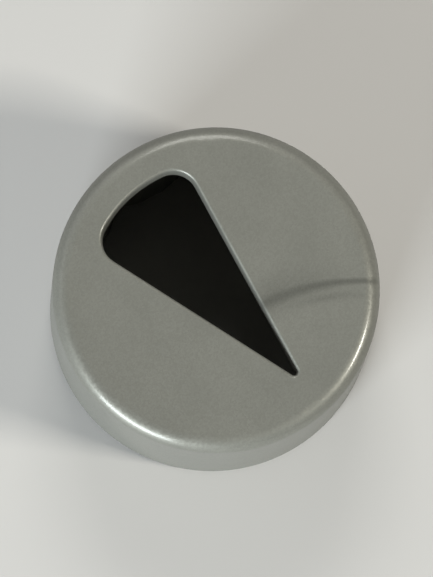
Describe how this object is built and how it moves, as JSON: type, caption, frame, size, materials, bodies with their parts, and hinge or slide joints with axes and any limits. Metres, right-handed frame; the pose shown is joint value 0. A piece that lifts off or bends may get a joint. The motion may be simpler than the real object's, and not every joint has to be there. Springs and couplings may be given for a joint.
{
  "type": "loose wheel nut indicator",
  "caption": "Push-on plastic cap for a hexagon wheel bolt or nut, with a star-shaped grip socket and a wedge window through its crown that points out when the bolt has worked loose.",
  "frame": {"origin": "centre of the mouth rim, where the cap stands on a flat surface", "axes": "+Z along the cap's axis out of its crown, +Y towards the pointer's tip"},
  "size_m": [0.0258, 0.0258, 0.018],
  "materials": {
    "silver_plastic": "satin silver-grey moulding with metallic pigment"
  },
  "bodies": {
    "root": {"indicator_cap": "silver_plastic"}
  },
  "joints": []
}
